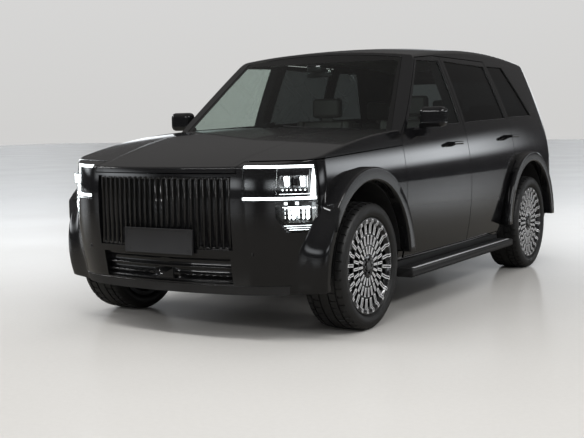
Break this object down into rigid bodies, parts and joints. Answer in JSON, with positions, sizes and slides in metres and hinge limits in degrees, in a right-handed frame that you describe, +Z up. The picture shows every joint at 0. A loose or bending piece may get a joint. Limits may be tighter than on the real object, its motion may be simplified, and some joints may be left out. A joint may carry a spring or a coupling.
{
  "type": "large suv",
  "caption": "Large black five door sport utility car with an upright bar grille, split lamps, side steps, opening doors, hood and tailgate, and steering.",
  "frame": {"origin": "on the ground under the middle of the car's length and width", "axes": "+X to the car's left, the front faces -Y, +Z up"},
  "size_m": [2.266, 4.9683, 1.8648],
  "materials": {
    "paint_black": "gloss",
    "gloss_black_plastic": "gloss",
    "satin_black_plastic": "satin",
    "clear_glass": "clear",
    "tinted_glass": "privacy tint",
    "lamp_white": "lit lamp",
    "lamp_red": "lamp lens",
    "chassis_steel": "matt",
    "primer_steel": "matt",
    "engine_iron": "cast",
    "seat_leather": "grained",
    "cabin_plastic": "grained",
    "tyre_rubber": "matt",
    "rim_black": "gloss black with machined faces"
  },
  "bodies": {
    "root": {"body_sides": "paint_black", "roof_panel": "paint_black", "front_fenders": "paint_black", "front_bumper": "paint_black", "rear_bumper": "paint_black", "grille": "gloss_black_plastic", "plate_holder": "satin_black_plastic", "headlamps": "gloss_black_plastic", "headlamp_lenses": "clear_glass", "light_bars": "lamp_white", "tail_lamps": "lamp_red", "windshield": "clear_glass", "quarter_glass": "tinted_glass", "cowl": "satin_black_plastic", "arch_flares": "gloss_black_plastic", "wheel_liners": "satin_black_plastic", "side_steps": "satin_black_plastic", "underbody": "chassis_steel", "floor_pan": "primer_steel", "engine_block": "engine_iron", "front_suspension": "chassis_steel", "rear_suspension": "chassis_steel", "front_seats": "seat_leather", "rear_seats": "seat_leather", "dashboard": "cabin_plastic"},
    "upright_l": {"upright_l": "chassis_steel"},
    "upright_r": {"upright_r": "chassis_steel"},
    "hood": {"hood": "paint_black"},
    "tailgate": {"tailgate": "paint_black", "tailgate_glass": "tinted_glass"},
    "steering_wheel": {"steering_wheel": "cabin_plastic"},
    "wheel_fl": {"tyre_fl": "tyre_rubber", "rim_fl": "rim_black"},
    "door_fl": {"door_fl": "paint_black", "window_fl": "clear_glass"},
    "wheel_fr": {"tyre_fr": "tyre_rubber", "rim_fr": "rim_black"},
    "door_fr": {"door_fr": "paint_black", "window_fr": "clear_glass"},
    "wheel_rl": {"tyre_rl": "tyre_rubber", "rim_rl": "rim_black"},
    "door_rl": {"door_rl": "paint_black", "window_rl": "tinted_glass"},
    "wheel_rr": {"tyre_rr": "tyre_rubber", "rim_rr": "rim_black"},
    "door_rr": {"door_rr": "paint_black", "window_rr": "tinted_glass"}
  },
  "joints": [
    {"name": "steer_l", "type": "hinge", "parent": "root", "child": "upright_l", "pos_m": [0.745, -1.68, 0.39], "axis": [0, 0, 1], "range_deg": [-34, 34]},
    {"name": "steer_r", "type": "hinge", "parent": "root", "child": "upright_r", "pos_m": [-0.745, -1.68, 0.39], "axis": [0, 0, 1], "range_deg": [-34, 34]},
    {"name": "steering_wheel_turn", "type": "hinge", "parent": "root", "child": "steering_wheel", "pos_m": [0.385, -0.49, 1.015], "axis": [0, 0.9063, 0.4226], "range_deg": [-493, 493]},
    {"name": "wheel_fl_spin", "type": "hinge", "parent": "upright_l", "child": "wheel_fl", "pos_m": [0.868, -1.68, 0.39], "axis": [1, 0, 0], "continuous": true},
    {"name": "wheel_fr_spin", "type": "hinge", "parent": "upright_r", "child": "wheel_fr", "pos_m": [-0.868, -1.68, 0.39], "axis": [1, 0, 0], "continuous": true},
    {"name": "wheel_rl_spin", "type": "hinge", "parent": "root", "child": "wheel_rl", "pos_m": [0.868, 1.35, 0.39], "axis": [1, 0, 0], "continuous": true},
    {"name": "wheel_rr_spin", "type": "hinge", "parent": "root", "child": "wheel_rr", "pos_m": [-0.868, 1.35, 0.39], "axis": [1, 0, 0], "continuous": true},
    {"name": "door_fl_swing", "type": "hinge", "parent": "root", "child": "door_fl", "pos_m": [0.994, -1.092, 0.65], "axis": [0.0698, 0, -0.9976], "range_deg": [0, 65]},
    {"name": "door_fr_swing", "type": "hinge", "parent": "root", "child": "door_fr", "pos_m": [-0.994, -1.092, 0.65], "axis": [0.0698, 0, 0.9976], "range_deg": [0, 65]},
    {"name": "door_rl_swing", "type": "hinge", "parent": "root", "child": "door_rl", "pos_m": [0.994, 0.02, 0.65], "axis": [0.0698, 0, -0.9976], "range_deg": [0, 65]},
    {"name": "door_rr_swing", "type": "hinge", "parent": "root", "child": "door_rr", "pos_m": [-0.994, 0.02, 0.65], "axis": [0.0698, 0, 0.9976], "range_deg": [0, 65]},
    {"name": "hood_lift", "type": "hinge", "parent": "root", "child": "hood", "pos_m": [0, -1.088, 1.264], "axis": [-1, 0, 0], "range_deg": [0, 48]},
    {"name": "tailgate_lift", "type": "hinge", "parent": "root", "child": "tailgate", "pos_m": [0, 2.128, 1.815], "axis": [1, 0, 0], "range_deg": [0, 80]}
  ],
  "couplings": [
    {"joint": "steer_r", "follows": "steer_l", "ratio": 1},
    {"joint": "steering_wheel_turn", "follows": "steer_l", "ratio": 14.5}
  ]
}
